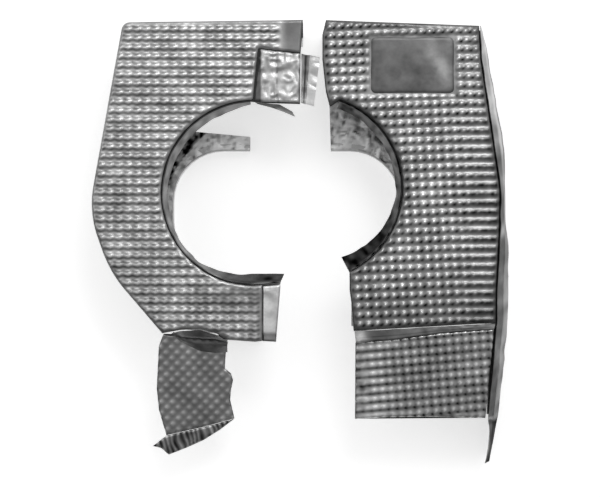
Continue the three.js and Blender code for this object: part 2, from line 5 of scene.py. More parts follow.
import bpy
import numpy as np
from bpy.props import FloatProperty, FloatVectorProperty, PointerProperty
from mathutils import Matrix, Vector


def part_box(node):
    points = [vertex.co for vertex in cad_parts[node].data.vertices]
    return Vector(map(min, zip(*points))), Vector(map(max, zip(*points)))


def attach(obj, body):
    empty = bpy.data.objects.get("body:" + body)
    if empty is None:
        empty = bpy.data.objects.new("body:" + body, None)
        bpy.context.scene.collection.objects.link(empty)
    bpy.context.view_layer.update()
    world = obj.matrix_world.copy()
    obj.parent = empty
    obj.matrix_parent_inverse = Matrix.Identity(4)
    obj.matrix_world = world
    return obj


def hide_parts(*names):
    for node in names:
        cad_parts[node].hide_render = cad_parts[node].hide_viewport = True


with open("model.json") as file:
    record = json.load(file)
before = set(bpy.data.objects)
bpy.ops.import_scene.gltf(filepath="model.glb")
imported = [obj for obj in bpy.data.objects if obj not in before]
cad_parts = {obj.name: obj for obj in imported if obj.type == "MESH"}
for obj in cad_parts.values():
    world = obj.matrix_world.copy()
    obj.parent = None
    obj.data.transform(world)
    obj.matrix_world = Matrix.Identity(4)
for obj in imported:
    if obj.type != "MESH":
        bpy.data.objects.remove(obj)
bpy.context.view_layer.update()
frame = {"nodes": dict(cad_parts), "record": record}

bl_info = {
    "name": "Turbo heat blanket",
    "version": (1, 0, 0),
    "blender": (4, 5, 0),
    "location": "View3D > Sidebar > Blanket",
    "description": "Builds the embossed foil shells of a turbo heat blanket around its packed frame",
    "category": "Object",
}

CAD_TOP = 0.07  # top of the panels, in metres
BODY = "root"
MM = 0.001

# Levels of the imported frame, in millimetres.
SKIN_TOP = 68.8
LINING_LOW = 59.4
LINING_TOP = 60.1
BACK_TOP = 9.4
SKIN_INSET = 1.5
PANEL_INSET = 2.5
WALL_FOOT = 0.3  # lower edge of the walls' foil
LEFT_WALL_TOP = 67.8
BAND_LOW = 56  # outer edge of the side band
BAND_FALL = 0.12  # it falls towards the tail by this share
BAND_BEND = 0.25  # the inner half of the band takes this share of its height
TAIL_TIP = -157
TAIL_LEAN = 5  # the foot of the tail stands out this much at its tip
LEAN_FROM = -60

# Throats: centre and radius. Then how far a lip reaches in, by angle in degrees.
LIP_SHIFT = 1.4  # the lip's inner edge is centred this much lower
THROAT_LEFT = (-32.4, 34.1, 65.0)
THROAT_RIGHT = (6.5, 37.7, 65.5)
LEFT_REACH = [(92, 1), (104, 3.4), (135, 4), (215, 3.8), (230, 4), (246, 6), (268, 9.6)]
RIGHT_REACH = [(-64.3, 13.2), (-38, 8.8), (-24, 6.5), (0, 4.2), (70.9, 4.2)]
LEFT_LIP_END = ((-14, -28.9), (-11.2, -23))  # its upper and lower corner at the lower arm
PLATE = (78.8, 123.6, 59.5, 40.6)  # centre, width and height
# Leaning sheets: where they hinge, their slope and how far they hang below the panel.
FLAP_TILT = (-70.0, 0.22, 10.9)
SKIRT_TILT = (-71.0, 0.2, 2.5)
FLAP_TURN = math.radians(45)
SKIRT_TURN = math.radians(5)
SKIRT_FOOT = -125
PANEL_FOOT = -57
PATCH_LOW = 97.3
LIP_LENGTH = 220  # rough lengths, for the creases of the strips
BAND_LENGTH = 310
SEAM_LENGTH = 100
PLAIN_GRID = 6.35  # spacing that the meshes of the smooth pieces are made on
# Columns and rows of the strips' meshes.
WALL_ROWS = 54
LIP_GRID = (260, 16)
ARCH_GRID = (60, 14)
TAB_GRID = (60, 24)
BAND_GRID = (300, 14)
SEAM_GRID = (150, 14)

# Outer sides of the halves, corners with an optional radius, the outside to the right of the way.
LEFT_SIDE = [(2.1, 155.4), (-124.3, 153.7, 6), (-148.2, 21, 70), (-133.3, -21.7, 90), (-96.6, -64.4)]
LEFT_BOW = [(-84, -62), (-70, -61.3), (-59.5, -64), (-50.4, -69), (-31.5, -70.4)]
# The lip under the lower arm, its edge at the lining and at the skin.
ARCH_LOW = [(-90, -65.4), (-84, -71), (-70, -77.4), (-59.5, -78.8), (-51.2, -78)]
ARCH_HIGH = [(-90, -64.3), (-84, -63.1), (-70, -62.4), (-59.5, -65.3), (-51.2, -70.2)]
RIGHT_SIDE = [
    (135.3, -157), (141, -124.5), (147.4, -58, 150), (147.4, -4, 60), (145.3, 20, 60), (145.3, 62, 60),
    (129, 151.5, 3), (18.2, 155.4),
]
RIGHT_EDGE = [
    (132.4, SKIRT_FOOT), (137.4, PANEL_FOOT), (137.4, -36), (139.8, 10, 60), (140.2, 36, 60), (135.2, 71),
    (126.8, 127), (125.6, 151.3),
]
TAIL_INNER = [(132.2, -158.6), (134.6, -149), (135.4, -141), (135, -132)]
TUCK = [(-26.2, -69.9), (-16.8, -70.4), (-13.6, -30.2), (-26.2, -30.9)]
# The sliver at the upper end of the left lip, measured up from the patch's lower edge.
SLIVER = [(-32, 0.9), (-29.6, -0.4), (-20, -2.8), (-11.3, -6), (-3.4, -9.3), (-5.4, -5.6), (-14.5, -0.5)]
RIGHT_JOIN = [(18.2, 155.2), (15.8, 145.3), (15.8, 128.5), (18.2, 106), (21, 94.9)]
RIGHT_END = [(35, -34), (36.4, -44.5), (37.8, -62.7)]
SKIRT_TOP = [(39.2, -71.5), (70, -68.8), (98, -64.6), (136, -61.8)]
FLAP = [
    (-96.6, -65.4), (-100, -74), (-102, -104.6), (-100.7, -120.3), (-95.7, -138.6), (-67.8, -132.2),
    (-47.1, -126.4), (-50, -113.2), (-49.3, -106), (-47.8, -98.9), (-49.3, -94), (-53.6, -90.3),
    (-52.9, -80.3), (-51, -66.5),
]
FLAP_HEM = [
    (-47.1, -126.7), (-67.8, -132.5), (-95.7, -138.9), (-105.7, -146.7), (-100, -148), (-94.2, -153),
    (-82.1, -148.2), (-69.3, -142.4), (-57.1, -134.6),
]
LEFT_OPENING = [(-26, -29.5), (-94, -29.5, 45), (-94, 67.8, 38), (-36.8, 67.8)]
RIGHT_OPENING = [(22.8, 67.8), (74.5, 67.8, 38), (74.5, -29.5, 32), (38, -29.5)]

# The embossing: a dimple of each panel, and how the painted light and shade on it are spread.
LEFT_DIMPLE = (-120.5, 59.9)
RIGHT_DIMPLE = (76.5, 76.5)
ROW_SLOPE = 0.042  # the right panel's rows climb to the right
COLUMN_SLOPE = 0.07  # and its columns lean
LEFT_STREAK = 0.5  # how far the left panel's dimples join into rows
LEFT_ROW_SHADE = 0.36  # painted shade: tone between the left panel's rows
BARS = ((92, 132), (-120, -70))  # right panel: dimples become bars to the right, and downwards
PLATE_FRAME = 3  # width of the fading embossing round the plate
# Where the foil is crushed: centre, reach to the side and up, and strength.
LEFT_CRUSHED = [(-38, -36, 24, 9, 1), (-24, -50, 7, 24, 1)]
RIGHT_CRUSHED = [(26, 66, 10, 14, 1), (40, -8, 12, 14, 0.6)]
SKIRT_CRUSHED = [(42, -103, 6, 26, 1), (90, -124, 60, 3, 1)]
PLAIN_EDGE = (2.2, 0.8)  # the embossing fades out between these distances from the edge
SMOOTH_END = (-17, -13)  # and, on the left panel, between these places

# Grain of the surfaces, per metre, and its depth in metres.
SCRATCHES = 700
SCRATCH_DEPTH = 0.0004
FIBRES = 420
FIBRE_DEPTH = 0.001

# Lamps: name, place, width, depth and power.
LAMPS = [
    ("key", (0.25, 0.8, 1.3), 0.5, 0.35, 3.5),
    ("fill", (-0.9, 0.2, 1.2), 0.8, 0.8, 1.0),
]
LAMPS_AIM = (0, 0, 0.05)
# Brightness of the sky by direction: axis, from, to, and the strength at each end.
SKY = [("Z", 0.4, 1.0, 0.12, 0.35), ("Y", -0.3, 0.6, 0.0, 0.5), ("X", -0.4, 0.6, 0.0, 0.1)]
FLOOR_GLOW = 0.6
FLOOR_SIZE = 6
FLOOR_LEVEL = -0.0005
EYE_HEIGHT = 1.2  # camera above the panels, in metres
EYE_DOWN = 0.0049  # and below their middle in the picture
VIEW_WIDTH = 0.42  # width of the picture at the panels
SENSOR = 36  # width of the film, in millimetres
# The back linings are seen this much nearer the middle than the lips above them.
LINING_SPREAD = 1.046

# The frame is centred, so places measured in the photograph are moved by as much as its plate is.
PLATE_LOW, PLATE_HIGH = (Vector(corner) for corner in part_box("name_plate"))
SHIFT = (PLATE_LOW + PLATE_HIGH).xy / 2 - Vector(PLATE[:2]) * MM


class BlanketSizes(bpy.types.PropertyGroup):
    """Sizes of the foil that a user would change."""
    pitch: FloatProperty(
        name="Pitch", description="Spacing of the embossing", unit="LENGTH", default=6.35 * MM)
    dimple: FloatProperty(
        name="Dimple", description="Height of a dimple", unit="LENGTH", default=1.0 * MM)
    foil: FloatProperty(
        name="Foil", description="Thickness of the foil", unit="LENGTH", default=0.5 * MM)
    flap_pitch: FloatProperty(
        name="Flap pitch", description="Spacing of the embossing on the tail flap", unit="LENGTH",
        default=5.6 * MM)
    skirt_pitch: FloatProperty(
        name="Skirt pitch", description="Spacing of the embossing on the skirt", unit="LENGTH",
        default=6.1 * MM)
    dent: FloatProperty(
        name="Dents", description="Depth of the dents in the foil", unit="LENGTH", default=0.35 * MM)


class BlanketColours(bpy.types.PropertyGroup):
    """Colours of the surfaces."""
    bright: FloatVectorProperty(
        name="Embossed foil", description="Colour of the dimpled foil", size=3, subtype="COLOR",
        default=(0.62, 0.62, 0.62))
    plain: FloatVectorProperty(
        name="Plain foil", description="Colour of the smooth foil", size=3, subtype="COLOR",
        default=(0.6, 0.6, 0.6))
    # Painted shade: the throat lips, arch and sliver get this dark colour for the shade they lie in.
    shade: FloatVectorProperty(
        name="Shaded foil", description="Colour of the lips and hems", size=3, subtype="COLOR",
        default=(0.24, 0.24, 0.24))
    # Painted shade: the mats are near black for the dark gaps where they show.
    wool: FloatVectorProperty(
        name="Insulation", description="Colour of the fibre mats", size=3, subtype="COLOR",
        default=(0.03, 0.03, 0.03))
    plate: FloatVectorProperty(
        name="Plate", description="Colour of the bare plate", size=3, subtype="COLOR",
        default=(0.3, 0.3, 0.3))


def sizes():
    """The sizes that a user can change."""
    return bpy.context.scene.blanket_sizes


def colours():
    """The colours that a user can change."""
    return bpy.context.scene.blanket_colours


# Plane outlines, in millimetres.

def heading(a, b):
    """Direction from one place to the next."""
    step = np.subtract(b[:2], a[:2])
    return step / np.hypot(*step)


def moved(corners, distance):
    """The open path moved to its left, with mitred corners."""
    result = []
    last = len(corners) - 1
    for i, corner in enumerate(corners):
        before = heading(corners[max(i - 1, 0)], corners[max(i, 1)])
        after = heading(corners[min(i, last - 1)], corners[min(i + 1, last)])
        across = np.array([-before[1] - after[1], before[0] + after[0]])
        point = np.array(corner[:2]) + across * (2 * distance / across.dot(across))
        radius = (max(corner[2] - distance, 0.5),) if len(corner) > 2 else ()
        result.append((*point, *radius))
    return result


def rounded(corners):
    """The path with a round corner wherever a radius is given."""
    points = []
    for i, corner in enumerate(corners):
        if len(corner) < 3:
            points.append(tuple(corner[:2]))
            continue
        here, radius = np.array(corner[:2]), corner[2]
        back, on = heading(here, corners[i - 1]), heading(here, corners[i + 1])
        half = math.acos(back.dot(on)) / 2
        centre = here + (back + on) / np.hypot(*(back + on)) * radius / math.sin(half)
        start = here + back * radius / math.tan(half) - centre
        end = here + on * radius / math.tan(half) - centre
        turn = math.atan2(start[0] * end[1] - start[1] * end[0], start.dot(end))
        first = math.atan2(start[1], start[0])
        steps = max(6, int(abs(turn) * radius / 2))
        for k in range(steps + 1):
            angle = first + turn * k / steps
            points.append((centre[0] + radius * math.cos(angle), centre[1] + radius * math.sin(angle)))
    return points


def arc(circle, start, end, radius=None):
    """Points of an arc, angles in degrees."""
    steps = max(2, int(abs(end - start) / 1.5))
    angles = np.radians(np.linspace(start, end, steps + 1))
    reach = circle[2] if radius is None else radius
    return [(circle[0] + reach * math.cos(a), circle[1] + reach * math.sin(a)) for a in angles]


def along(points, share):
    """Places at shares of the way along a path of two or three dimensions."""
    points = np.array(points, float)
    step = np.linalg.norm(np.diff(points, axis=0), axis=1)
    way = np.concatenate([[0], np.cumsum(step)])
    return np.stack([np.interp(share * way[-1], way, points[:, k]) for k in range(points.shape[1])], -1)


def path_length(points):
    """Length of a path of two or three dimensions."""
    return float(np.linalg.norm(np.diff(np.array(points, float), axis=0), axis=1).sum())


def distances(xy, outline):
    """Distance to the outline, its nearest point, and whether each point is inside."""
    corners = np.array(outline, float)
    ends = np.roll(corners, -1, axis=0)
    best = np.full(len(xy), 1e9)
    near = np.zeros_like(xy)
    inside = np.zeros(len(xy), bool)
    for a, b in zip(corners, ends):
        side = b - a
        share = np.clip(((xy - a) @ side) / max(side @ side, 1e-9), 0, 1)
        foot = a + share[:, None] * side
        far = np.hypot(*(xy - foot).T)
        closer = far < best
        best = np.where(closer, far, best)
        near[closer] = foot[closer]
        if a[1] != b[1]:
            crosses = (a[1] > xy[:, 1]) != (b[1] > xy[:, 1])
            inside ^= crosses & (xy[:, 0] < (b[0] - a[0]) * (xy[:, 1] - a[1]) / (b[1] - a[1]) + a[0])
    return best, near, inside


def noise(x, y, size, seed):
    """Smooth noise between -1 and 1, with lumps of about the given size."""
    lattice = np.random.default_rng(seed).uniform(-1, 1, (64, 64))
    u, v = x / size + 100, y / size + 100
    i, j = np.floor(u).astype(int), np.floor(v).astype(int)
    s, t = u - i, v - j
    s, t = s * s * (3 - 2 * s), t * t * (3 - 2 * t)
    at = lambda di, dj: lattice[(i + di) % 64, (j + dj) % 64]
    low = at(0, 0) * (1 - s) + at(1, 0) * s
    high = at(0, 1) * (1 - s) + at(1, 1) * s
    return low * (1 - t) + high * t


def creases(x, y, size, seed):
    """Sharp ridges as in crumpled foil, 1 on a ridge and down to -1 between them."""
    bent = x + 0.35 * size * noise(x, y, size, seed + 1)
    skew = y + 0.35 * size * noise(x, y, size, seed + 2)
    return 1 - np.abs(noise(bent, skew, size, seed)) * 2


def peak(share, sharp):
    """A bump that comes back once in every pitch, 1 at its top."""
    return np.exp(sharp * (np.cos(2 * np.pi * share) - 1))


def spot(x, y, cx, cy, rx, ry):
    """A soft patch that is 1 at its centre and 0 away from it."""
    return np.exp(-(((x - cx) / rx) ** 2 + ((y - cy) / ry) ** 2))


def patches(x, y, spots):
    """Soft patches added up, each with its strength as the last value."""
    return sum(strength * spot(x, y, *place) for *place, strength in spots)


def step_up(value, low, high):
    """Rises smoothly from 0 at low to 1 at high."""
    share = np.clip((value - low) / (high - low), 0, 1)
    return share * share * (3 - 2 * share)


# Mesh pieces.

def grid(name, columns, rows):
    """A flat grid of quads to be shaped; returns it with the shares across and along."""
    bpy.ops.object.select_all(action="DESELECT")
    bpy.ops.mesh.primitive_grid_add(x_subdivisions=columns, y_subdivisions=rows, size=1)
    piece = bpy.context.object
    piece.name = piece.data.name = name
    place = np.empty(len(piece.data.vertices) * 3)
    piece.data.vertices.foreach_get("co", place)
    place = place.reshape(-1, 3) + 0.5
    return piece, place[:, 0], place[:, 1]


def set_places(piece, x, y, z):
    """Moves the vertices to places in millimetres, as they were before the frame was centred."""
    place = np.stack([x, y, z], -1) * MM
    place[:, :2] += SHIFT
    piece.data.vertices.foreach_set("co", place.ravel())
    piece.data.update()


def set_tone(piece, value):
    """Keeps the tone at each place, painted highlights and shade with some random grain, which the material
    multiplies into the colour.
    """
    layer = piece.data.attributes.new("tone", "FLOAT", "POINT")
    layer.data.foreach_set("value", np.clip(value, 0, 1.5).astype(np.float32))


def drop_faces(piece, wanted):
    """Deletes the faces whose corners are all unwanted."""
    mesh = piece.data
    corners = np.empty(len(mesh.loops), int)
    mesh.loops.foreach_get("vertex_index", corners)
    kept = wanted[corners].reshape(-1, 4).any(axis=1)
    mesh.vertices.foreach_set("select", np.zeros(len(mesh.vertices), bool))
    mesh.edges.foreach_set("select", np.zeros(len(mesh.edges), bool))
    bpy.ops.object.mode_set(mode="EDIT")
    bpy.ops.mesh.select_mode(type="FACE")
    bpy.ops.object.mode_set(mode="OBJECT")
    mesh.polygons.foreach_set("select", ~kept)
    bpy.ops.object.mode_set(mode="EDIT")
    bpy.ops.mesh.delete(type="FACE")
    bpy.ops.object.mode_set(mode="OBJECT")
    touched = np.zeros(len(wanted), bool)
    touched[corners.reshape(-1, 4)[kept].ravel()] = True
    return touched


def thicken(piece, thickness, side=-1):
    """Gives the sheet its thickness, away from its face."""
    bpy.ops.object.select_all(action="DESELECT")
    bpy.context.view_layer.objects.active = piece
    piece.select_set(True)
    wall = piece.modifiers.new("Foil", "SOLIDIFY")
    wall.thickness = thickness * MM
    wall.offset = side
    bpy.ops.object.modifier_apply(modifier="Foil")


def dress(piece, slot, material, *nodes, angle=60):
    """Material, shading, place in the model and the frame nodes it stands for."""
    piece.data.materials.clear()
    piece.data.materials.append(material)
    bpy.ops.object.select_all(action="DESELECT")
    bpy.context.view_layer.objects.active = piece
    piece.select_set(True)
    bpy.ops.object.shade_smooth_by_angle(angle=math.radians(angle))
    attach(piece, BODY)
    if nodes:
        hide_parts(*nodes)


def emboss(a, b, pitch, streak=0.0):
    """Height share of the square dimple pattern; streak joins the dimples of a row."""
    across = 0.5 + 0.5 * np.cos(2 * np.pi * a / pitch)
    up = 0.5 + 0.5 * np.cos(2 * np.pi * b / pitch)
    return (across * (1 - streak) + streak) * up


def trimmed_panel(name, outline, height, pitch, turn=0.0, fine=7):
    """A foil panel cut to its outline. height(x, y, edge) gives z and the tone, which paints light and
    shade.
    """
    corners = np.array(outline, float)
    cos, sin = math.cos(turn), math.sin(turn)
    turned = corners @ np.array([[cos, -sin], [sin, cos]])
    low, high = turned.min(0) - pitch / 2, turned.max(0) + pitch / 2
    columns, rows = (int(n) for n in np.ceil((high - low) / pitch) * fine)
    piece, u, v = grid(name, columns, rows)
    a = low[0] + u * columns * pitch / fine
    b = low[1] + v * rows * pitch / fine
    xy = np.stack([a * cos - b * sin, b * cos + a * sin], -1)
    far, near, inside = distances(xy, outline)
    touched = drop_faces(piece, inside)
    xy = np.where(inside[:, None], xy, near)
    far = np.where(inside, far, 0)
    xy, far = xy[touched], far[touched]
    if len(piece.data.vertices) != len(xy):
        raise RuntimeError(f"{name}: {len(piece.data.vertices)} vertices, {len(xy)} expected")
    z, tone = height(xy[:, 0], xy[:, 1], far)
    set_places(piece, xy[:, 0], xy[:, 1], z)
    set_tone(piece, tone)
    return piece


def strip(name, lines, columns, rows, lift=None, tone=None):
    """A foil strip through lines of places; lift(u, v, place) moves it along its face."""
    piece, u, v = grid(name, columns, rows)
    laid = np.stack([along(line, u) for line in lines])
    at = np.clip(v * (len(lines) - 1), 0, len(lines) - 1 - 1e-9)
    first = at.astype(int)
    share = (at - first)[:, None]
    each = np.arange(len(u))
    place = laid[first, each] * (1 - share) + laid[first + 1, each] * share
    net = place.reshape(rows + 1, columns + 1, 3)
    face = np.cross(np.gradient(net, axis=1), np.gradient(net, axis=0)).reshape(-1, 3)
    face /= np.maximum(np.linalg.norm(face, axis=1), 1e-9)[:, None]
    if lift is not None:
        place = place + face * lift(u, v, place)[:, None]
    set_places(piece, *place.T)
    set_tone(piece, np.ones(len(u)) if tone is None else tone(u, v, place))
    return piece


def finished(piece, kind, *nodes):
    """Foil thickness, material and the nodes it stands for."""
    thicken(piece, sizes().foil / MM)
    dress(piece, kind, material_of(kind, True), *nodes)


def at_level(points, z):
    """The plane path at a height."""
    return [(p[0], p[1], z) for p in points]


def tilt(y, sheet):
    """Height of a leaning sheet, measured from the panel."""
    hinge, slope, drop = sheet
    return (y - hinge) * slope - drop


# Materials.

def foil_material(name, colour, rough, grain, bump, marked):
    """Rolled stainless foil: patchy tarnish and scratches, on the piece's own coordinates; a marked one has
    painted light and shade multiplied in.
    """
    material = bpy.data.materials.new(name)
    material.use_nodes = True
    nodes, links = material.node_tree.nodes, material.node_tree.links
    shader = nodes["Principled BSDF"]
    shader.inputs["Metallic"].default_value = 1.0
    where = nodes.new("ShaderNodeTexCoord")
    patches = nodes.new("ShaderNodeTexNoise")
    patches.inputs["Scale"].default_value = grain
    patches.inputs["Detail"].default_value = 6
    links.new(where.outputs["Object"], patches.inputs["Vector"])
    tone = nodes.new("ShaderNodeValToRGB")
    tone.color_ramp.elements[0].position = 0.3
    tone.color_ramp.elements[1].position = 0.7
    tone.color_ramp.elements[0].color = (*[c * 0.7 for c in colour], 1)
    tone.color_ramp.elements[1].color = (*[min(1, c * 1.15) for c in colour], 1)
    links.new(patches.outputs["Fac"], tone.inputs["Fac"])
    links.new(tone.outputs["Color"], shader.inputs["Base Color"])
    if marked:
        # Painted light and shade: the tone kept on the mesh multiplies the colour.
        mark = nodes.new("ShaderNodeAttribute")
        mark.attribute_name = "tone"
        mix = nodes.new("ShaderNodeMix")
        mix.data_type = "RGBA"
        mix.blend_type = "MULTIPLY"
        mix.inputs["Factor"].default_value = 1
        links.new(tone.outputs["Color"], mix.inputs[6])
        links.new(mark.outputs["Fac"], mix.inputs[7])
        links.new(mix.outputs[2], shader.inputs["Base Color"])
    gloss = nodes.new("ShaderNodeMapRange")
    gloss.inputs["To Min"].default_value = rough * 0.75
    gloss.inputs["To Max"].default_value = rough * 1.3
    links.new(patches.outputs["Fac"], gloss.inputs["Value"])
    links.new(gloss.outputs["Result"], shader.inputs["Roughness"])
    scratch = nodes.new("ShaderNodeTexNoise")
    scratch.inputs["Scale"].default_value = SCRATCHES
    scratch.inputs["Detail"].default_value = 3
    links.new(where.outputs["Object"], scratch.inputs["Vector"])
    relief = nodes.new("ShaderNodeBump")
    relief.inputs["Strength"].default_value = bump
    relief.inputs["Distance"].default_value = SCRATCH_DEPTH
    links.new(scratch.outputs["Fac"], relief.inputs["Height"])
    links.new(relief.outputs["Normal"], shader.inputs["Normal"])
    return material


def wool_material(name, colour):
    """Needled fibre mat: matt, with short fibres as bump."""
    material = bpy.data.materials.new(name)
    material.use_nodes = True
    nodes, links = material.node_tree.nodes, material.node_tree.links
    shader = nodes["Principled BSDF"]
    shader.inputs["Roughness"].default_value = 0.95
    where = nodes.new("ShaderNodeTexCoord")
    fibre = nodes.new("ShaderNodeTexNoise")
    fibre.inputs["Scale"].default_value = FIBRES
    fibre.inputs["Detail"].default_value = 8
    links.new(where.outputs["Object"], fibre.inputs["Vector"])
    tone = nodes.new("ShaderNodeValToRGB")
    tone.color_ramp.elements[0].color = (*[c * 0.5 for c in colour], 1)
    tone.color_ramp.elements[1].color = (*[c * 1.8 for c in colour], 1)
    links.new(fibre.outputs["Fac"], tone.inputs["Fac"])
    links.new(tone.outputs["Color"], shader.inputs["Base Color"])
    relief = nodes.new("ShaderNodeBump")
    relief.inputs["Strength"].default_value = 0.8
    relief.inputs["Distance"].default_value = FIBRE_DEPTH
    links.new(fibre.outputs["Fac"], relief.inputs["Height"])
    links.new(relief.outputs["Normal"], shader.inputs["Normal"])
    return material


MADE = {}


def material_of(kind, marked=False):
    """The material of a kind, made once; a marked one reads the tone kept on the mesh, painted light and
    shade, into its colour.
    """
    key = kind + ("_toned" if marked else "")
    if key not in MADE:
        tones = colours()
        # Colour, roughness, patches of tarnish per metre and strength of the scratches.
        foils = {
            "embossed_foil": (tones.bright, 0.34, 60, 0.12),
            "plain_foil": (tones.plain, 0.36, 90, 0.25),
            # dark_foil: the colour of painted shade, used on the lips, arch and sliver.
            "dark_foil": (tones.shade, 0.36, 150, 0.3),
            "bare_plate": (tones.plate, 0.42, 150, 0.1),
        }
        if kind in foils:
            MADE[key] = foil_material(key, *foils[kind], marked)
        else:
            MADE[key] = wool_material(key, tones.wool)
    return MADE[key]


# Outlines shared by the operators.

def lip_edge(circle, reach):
    """Inner edge of a throat lip."""
    x, y = circle[0], circle[1] - LIP_SHIFT
    steps = int(abs(reach[-1][0] - reach[0][0]) / 1.5)
    sweep = np.linspace(reach[0][0], reach[-1][0], steps + 1)
    radius = circle[2] - np.interp(sweep, *zip(*reach))
    turns = [math.radians(angle) for angle in sweep]
    return [(x + r * math.cos(turn), y + r * math.sin(turn)) for turn, r in zip(turns, radius)]


def left_panel():
    """Outline of the left front panel."""
    return [
        *rounded(LEFT_SIDE), *LEFT_BOW, (-26.6, -69.7), (-26.6, -30.6),
        *arc(THROAT_LEFT, 268, 92), (-32.9, 99.8), (-29.4, 135.5), (0.35, 132),
    ]


def right_panel():
    """Outline of the right front panel."""
    return [*RIGHT_END, *rounded(RIGHT_EDGE[1:]), *RIGHT_JOIN, *arc(THROAT_RIGHT, 70.9, -64.3)]


def plain_edge(edge):
    """1 on the smooth edge of a panel, 0 on its embossing."""
    return step_up(-edge, -PLAIN_EDGE[0], -PLAIN_EDGE[1])


def roll(edge, width=1.3, depth=0.8):
    """How far the foil is rolled down at its edge."""
    share = np.clip(1 - edge / width, 0, 1)
    return depth * share * share


# The panels. Heights, and tones that paint highlights and shade into the colour, are worked out from shares
# of the pitch, patches and noise.

class BLANKET_OT_left_front(bpy.types.Operator):
    """Embossed front panel of the left half"""
    bl_idname = "blanket.left_front"
    bl_label = "Left front panel"

    def execute(self, context):
        pitch, dimple = sizes().pitch / MM, sizes().dimple / MM
        dent = sizes().dent / MM

        def height(x, y, edge):
            plain = np.maximum(step_up(x, *SMOOTH_END), plain_edge(edge))
            wrinkled = np.clip(patches(x, y, LEFT_CRUSHED), 0, 1)
            a, b = x - LEFT_DIMPLE[0], y - LEFT_DIMPLE[1]
            crest = emboss(a, b, pitch, LEFT_STREAK) * (1 - plain) * (1 - 0.6 * wrinkled)
            crushed = (wrinkled + 0.15) * (1 - step_up(x, -15, -12) * step_up(y, 60, 70))
            soft = dent * (0.7 * noise(x, y, 34, 3) + 0.3 * noise(x, y, 12, 4))
            z = SKIN_TOP + dimple * crest + soft + 0.5 * crushed * (1 + creases(x, y, 9, 8)) - 0.15
            # Tone: painted highlights as lozenges along the rows and lines in the valleys between them,
            # painted shade between the rows, random grain; darker in the smooth upper right corner and
            # darker towards the bottom.
            p = a / pitch
            q = b / pitch + 0.06 * np.cos(2 * np.pi * p)
            highlight_lozenge = peak(q, 3) * (0.5 + 0.9 * peak(p, 1.2))
            valley_highlight = peak(q - 0.5, 3) * (0.65 + 0.25 * peak(p, 1.5))
            grain = 0.12 * noise(x, y, 18, 6) + 0.22 * noise(x, y, 2.5, 7)
            tone = LEFT_ROW_SHADE + (1.1 * highlight_lozenge + valley_highlight + grain) * (1 - 0.4 * wrinkled)
            corner = step_up(x, -15, -8) * step_up(y, 60, 70)
            tone = tone * (1 - plain) + (0.8 - 0.4 * corner) * plain - 0.1 * step_up(-y, -20, 60)
            return z - roll(edge), tone

        piece = trimmed_panel("left_front_foil", left_panel(), height, pitch)
        finished(piece, "embossed_foil", "left_front_skin")
        return {"FINISHED"}


class BLANKET_OT_right_front(bpy.types.Operator):
    """Embossed front panel of the right half"""
    bl_idname = "blanket.right_front"
    bl_label = "Right front panel"

    def execute(self, context):
        pitch, dimple = sizes().pitch / MM, sizes().dimple / MM
        dent = sizes().dent / MM

        def height(x, y, edge):
            flat = step_up(-np.abs(x - PLATE[0]), -PLATE[2] / 2 - PLATE_FRAME, -PLATE[2] / 2)
            flat = flat * step_up(-np.abs(y - PLATE[1]), -PLATE[3] / 2 - PLATE_FRAME, -PLATE[3] / 2)
            flat = np.maximum(flat, plain_edge(edge))
            bars = step_up(x, *BARS[0]) * step_up(-y, *BARS[1])
            a = x - RIGHT_DIMPLE[0] + COLUMN_SLOPE * (y - RIGHT_DIMPLE[1])
            b = y - RIGHT_DIMPLE[1] - ROW_SLOPE * (np.minimum(x, 105) - RIGHT_DIMPLE[0])
            crest = emboss(a, b, pitch, 0.1 + 0.6 * bars) * (1 - flat)
            soft = dent * (0.7 * noise(x, y, 34, 13) + 0.3 * noise(x, y, 12, 14)) * (1 - flat)
            rough = patches(x, y, RIGHT_CRUSHED) + 0.12
            z = SKIN_TOP + dimple * crest + soft + 0.5 * rough * (1 + creases(x, y, 8, 18)) - 0.15
            # Tone: a painted highlight dot on each crest with a painted shadow below and left of it; to the
            # right and downwards these turn into bright painted lines between dark bars. Darker towards the
            # bottom and within 7 mm of the edge, with random grain.
            p, q = a / pitch, b / pitch
            lean = p - 0.15 * np.sin(2 * np.pi * q)
            dot = peak(lean, 2.2) * peak(q, 2.2)
            shadow = peak(lean + 0.42, 1.4) * peak(q + 0.15, 1.6)
            middle = 0.66 + 1.1 * dot - 0.8 * shadow
            line = peak(q - 0.5, 1.6) * (0.9 + 0.2 * noise(x, y, 3, 17))
            barred = 0.36 + 0.6 * line - 0.25 * peak(q, 2) + 0.7 * dot * (1 - 0.8 * bars)
            tone = (middle * (1 - bars) + barred * bars) * (1 - flat) + 0.6 * flat
            tone = tone + 0.1 * noise(x, y, 18, 16) + 0.15 * noise(x, y, 2.5, 19)
            tone = tone * (0.9 - 0.25 * step_up(-y, 0, 60)) * (1 - 0.35 * step_up(-edge, -7, -2))
            return z - roll(edge), tone

        piece = trimmed_panel("right_front_foil", right_panel(), height, pitch)
        finished(piece, "embossed_foil", "right_front_skin")
        return {"FINISHED"}


